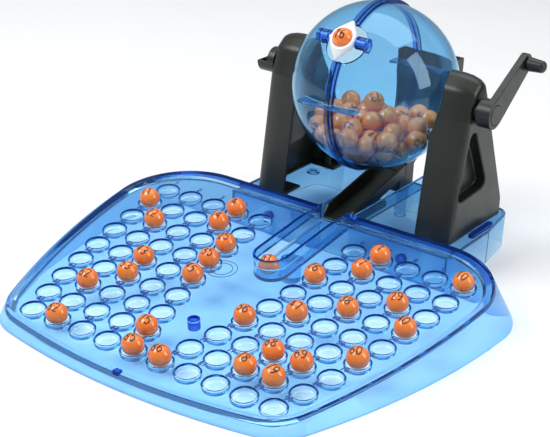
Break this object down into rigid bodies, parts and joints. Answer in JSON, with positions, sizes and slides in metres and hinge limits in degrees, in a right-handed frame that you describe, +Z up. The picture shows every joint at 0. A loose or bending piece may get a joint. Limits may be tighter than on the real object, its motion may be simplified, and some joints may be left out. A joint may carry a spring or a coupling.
{
  "type": "bingo cage",
  "caption": "Tabletop bingo cage: a see-through globe on two supports turned by a crank, with a rocking gate, catcher, chute and a sloping board of ball sockets.",
  "frame": {"origin": "on the table under the middle of the footprint, on the pad below the ball channel", "axes": "+Z up, +Y to the back from the board to the globe, +X to the crank side"},
  "size_m": [0.3816, 0.4547, 0.2238],
  "materials": {
    "board_blue": "clear tinted, smooth",
    "royal_blue": "clear tinted, smooth",
    "globe_blue": "clear tinted, polished",
    "black_plastic": "satin",
    "orange_ball": "glossy",
    "white_plastic": "glossy",
    "screw_steel": "plated"
  },
  "bodies": {
    "root": {"game_board": "board_blue", "front_latch": "royal_blue", "rear_platform": "board_blue", "joining_rivets": "royal_blue", "left_support": "black_plastic", "right_support": "black_plastic", "axle_cup": "black_plastic", "support_screws": "screw_steel", "support_latches": "royal_blue", "left_bushing": "black_plastic", "right_bushing": "black_plastic", "ball_chute": "black_plastic", "ball_catcher": "black_plastic", "catcher_screw": "screw_steel", "drum_balls": "orange_ball"},
    "drum": {"globe_left_half": "globe_blue", "globe_right_half": "globe_blue", "seam_tabs": "royal_blue", "left_axle": "black_plastic", "left_axle_clip": "screw_steel", "drive_shaft": "black_plastic", "crank_arm": "black_plastic", "crank_screw": "screw_steel", "crank_cap": "black_plastic", "knob_pin": "screw_steel"},
    "gate": {"gate_frame": "white_plastic", "gate_ball": "orange_ball"},
    "crank_knob": {"crank_knob": "black_plastic"},
    "board_balls": {"board_balls": "orange_ball"},
    "channel_ball": {"channel_ball": "orange_ball"}
  },
  "joints": [
    {"name": "drum_spin", "type": "hinge", "parent": "root", "child": "drum", "pos_m": [0, 0.1187, 0.1473], "axis": [1, 0, 0], "continuous": true},
    {"name": "gate_rock", "type": "hinge", "parent": "drum", "child": "gate", "pos_m": [0, 0.06129, 0.20084], "axis": [1, 0, 0], "range_deg": [-15, 15]},
    {"name": "knob_turn", "type": "hinge", "parent": "drum", "child": "crank_knob", "pos_m": [0.118, 0.16986, 0.18052], "axis": [1, 0, 0], "continuous": true},
    {"name": "board_balls_lift", "type": "slide", "parent": "root", "child": "board_balls", "axis": [0, -0.1219, 0.9925], "range_m": [0, 0.03]},
    {"name": "channel_ball_roll", "type": "slide", "parent": "root", "child": "channel_ball", "axis": [0, 0.9925, 0.1219], "range_m": [0, 0.085]}
  ]
}
